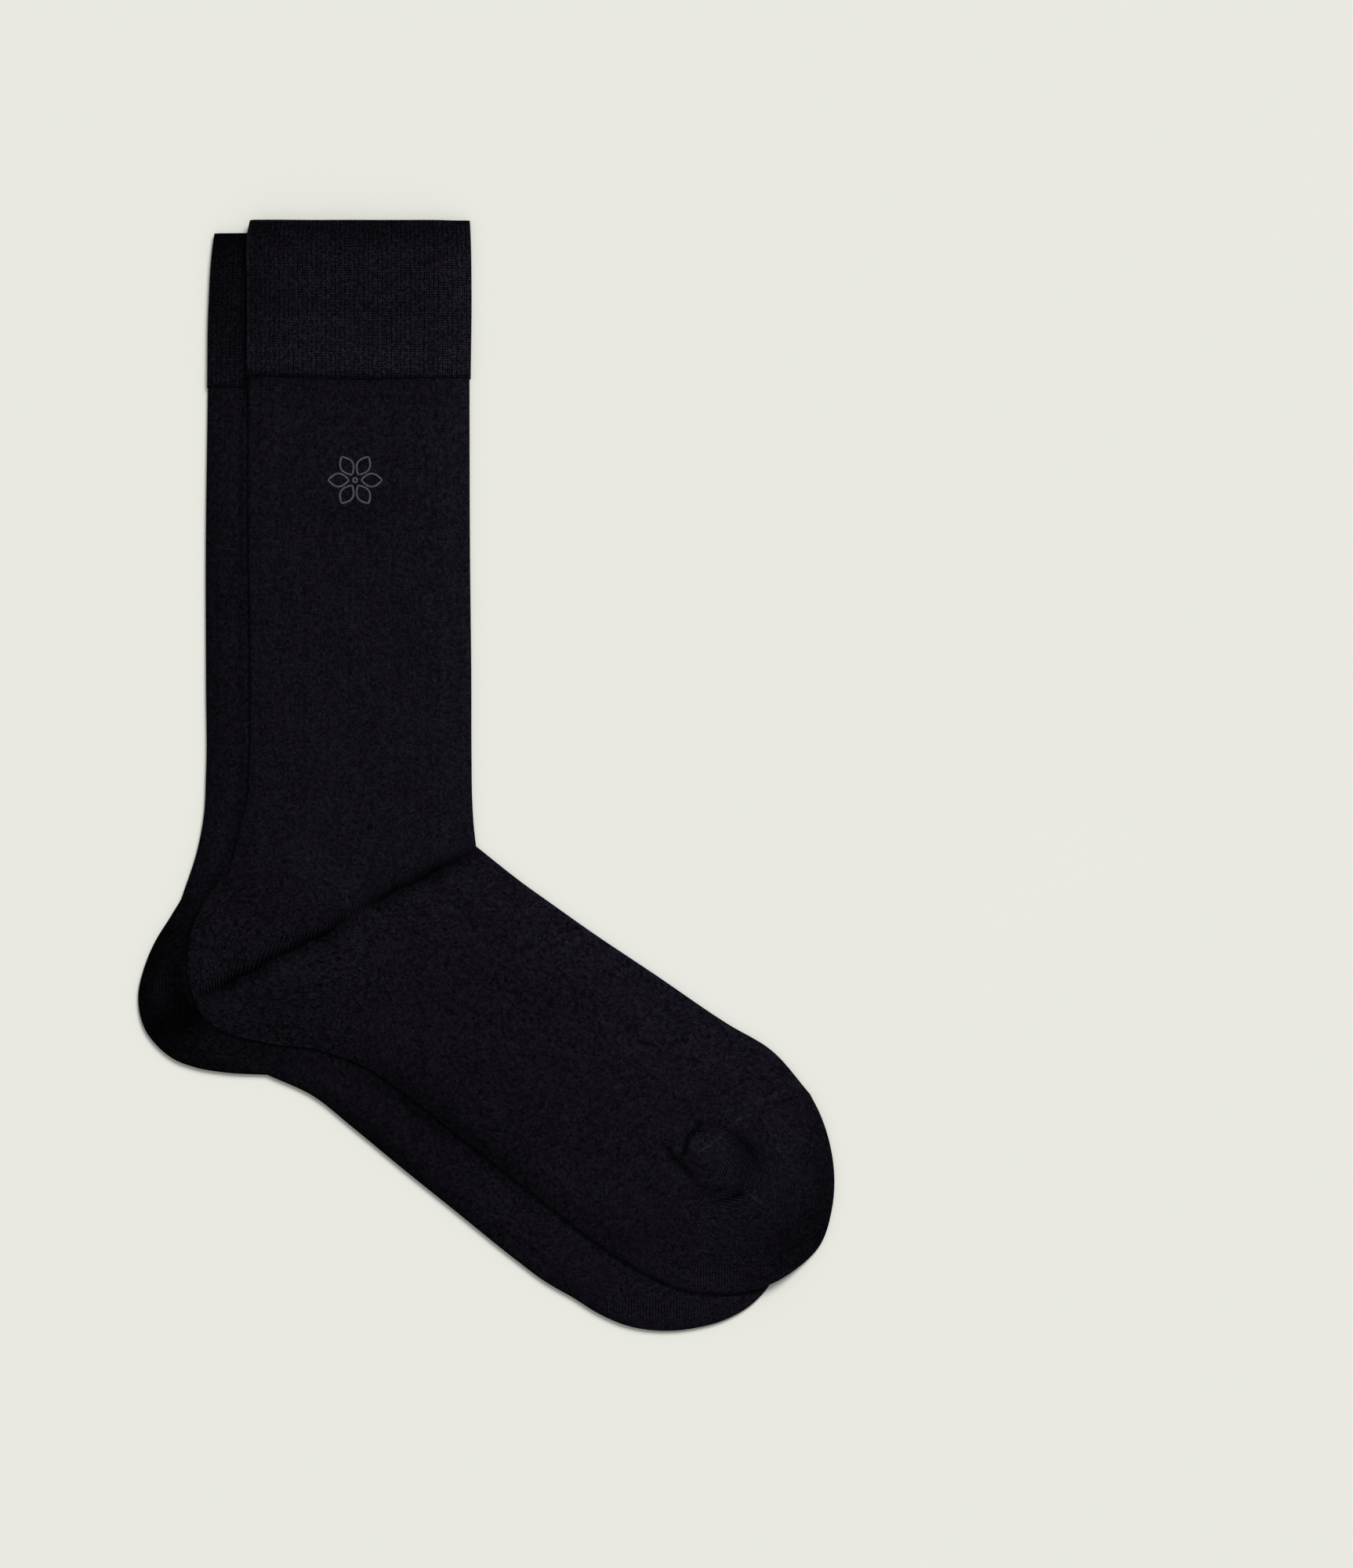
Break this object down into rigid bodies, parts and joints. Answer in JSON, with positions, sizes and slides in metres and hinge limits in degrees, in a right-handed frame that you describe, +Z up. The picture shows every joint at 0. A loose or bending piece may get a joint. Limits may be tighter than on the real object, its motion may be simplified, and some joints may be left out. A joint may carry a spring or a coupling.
{
  "type": "pair of dress socks",
  "caption": "Plain black fine-knit dress socks laid flat and overlapping, each with a deep plain cuff, ribbed leg and instep, turned heel pocket and seamed toe pocket.",
  "frame": {"origin": "middle of the outline of the laid pair seen from above, on the surface that it lies on", "axes": "+Y up the legs towards the cuffs, +X across the legs towards the toes, +Z up from the surface that the pair lies on"},
  "size_m": [0.2662, 0.4254, 0.008],
  "materials": {
    "cuff_knit": "matt knit",
    "leg_knit": "matt fine ribbed knit",
    "heel_knit": "matt fine plain knit",
    "foot_knit": "matt fine ribbed knit",
    "toe_knit": "matt fine plain knit"
  },
  "bodies": {
    "root": {"top_sock_cuff": "cuff_knit", "top_sock_leg": "leg_knit", "top_sock_heel": "heel_knit", "top_sock_foot": "foot_knit", "top_sock_toe": "toe_knit", "bottom_sock_cuff": "cuff_knit", "bottom_sock_leg": "leg_knit", "bottom_sock_heel": "heel_knit", "bottom_sock_foot": "foot_knit", "bottom_sock_toe": "toe_knit"}
  },
  "joints": []
}
